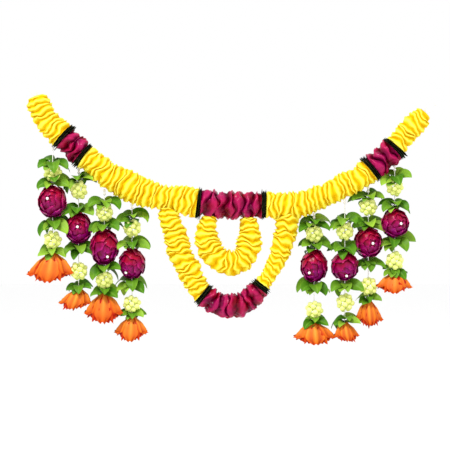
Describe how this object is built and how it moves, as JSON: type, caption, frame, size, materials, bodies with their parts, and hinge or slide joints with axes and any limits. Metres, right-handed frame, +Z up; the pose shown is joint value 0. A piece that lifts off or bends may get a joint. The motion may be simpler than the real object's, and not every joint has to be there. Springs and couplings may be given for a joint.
{
  "type": "toran door hanging",
  "caption": "Festive hanging strung over a doorway: a swag of gathered cloth frills with frilled loops under its middle and strands of leaves, berries, rose balls and bell flowers.",
  "frame": {"origin": "midway between the two nails that hold the hanging's nail loops, at their mean height, in the middle plane of the swag", "axes": "+X to the right along the doorway as seen from the room, +Y into the wall, +Z up"},
  "size_m": [0.9134, 0.0775, 0.5892],
  "materials": {
    "yellow_cloth": "matte",
    "magenta_cloth": "satin",
    "dark_cloth": "matte",
    "white_thread": "matte",
    "leaf": "satin",
    "rose_cloth": "satin",
    "orange_cloth": "satin",
    "berry": "satin",
    "pearl": "gloss"
  },
  "bodies": {
    "root": {"yellow_end_left": "yellow_cloth", "yellow_swag_left": "yellow_cloth", "yellow_swag_right": "yellow_cloth", "yellow_end_right": "yellow_cloth", "large_loop_yellow_left": "yellow_cloth", "large_loop_yellow_right": "yellow_cloth", "small_loop_yellow": "yellow_cloth", "magenta_left": "magenta_cloth", "magenta_centre": "magenta_cloth", "magenta_right": "magenta_cloth", "large_loop_magenta": "magenta_cloth", "dark_band_outer_left": "dark_cloth", "dark_band_inner_left": "dark_cloth", "dark_band_centre_left": "dark_cloth", "dark_band_centre_right": "dark_cloth", "dark_band_inner_right": "dark_cloth", "dark_band_outer_right": "dark_cloth", "large_loop_dark_left": "dark_cloth", "large_loop_dark_right": "dark_cloth", "nail_loop_left": "white_thread", "nail_loop_right": "white_thread", "strand_left_1_upper_spray": "leaf", "strand_left_1_lower_spray": "leaf", "strand_left_1_rose": "rose_cloth", "strand_left_1_bell": "orange_cloth", "strand_left_2_upper_spray": "leaf", "strand_left_2_lower_spray": "leaf", "strand_left_2_rose": "rose_cloth", "strand_left_2_bell": "orange_cloth", "strand_left_3_upper_spray": "leaf", "strand_left_3_lower_spray": "leaf", "strand_left_3_rose": "rose_cloth", "strand_left_3_bell": "orange_cloth", "strand_left_4_upper_spray": "leaf", "strand_left_4_lower_spray": "leaf", "strand_left_4_rose": "rose_cloth", "strand_left_4_bell": "orange_cloth", "strand_right_1_upper_spray": "leaf", "strand_right_1_lower_spray": "leaf", "strand_right_1_rose": "rose_cloth", "strand_right_1_bell": "orange_cloth", "strand_right_2_upper_spray": "leaf", "strand_right_2_lower_spray": "leaf", "strand_right_2_rose": "rose_cloth", "strand_right_2_bell": "orange_cloth", "strand_right_3_upper_spray": "leaf", "strand_right_3_lower_spray": "leaf", "strand_right_3_rose": "rose_cloth", "strand_right_3_bell": "orange_cloth", "strand_right_4_upper_spray": "leaf", "strand_right_4_lower_spray": "leaf", "strand_right_4_rose": "rose_cloth", "strand_right_4_bell": "orange_cloth"}
  },
  "joints": []
}
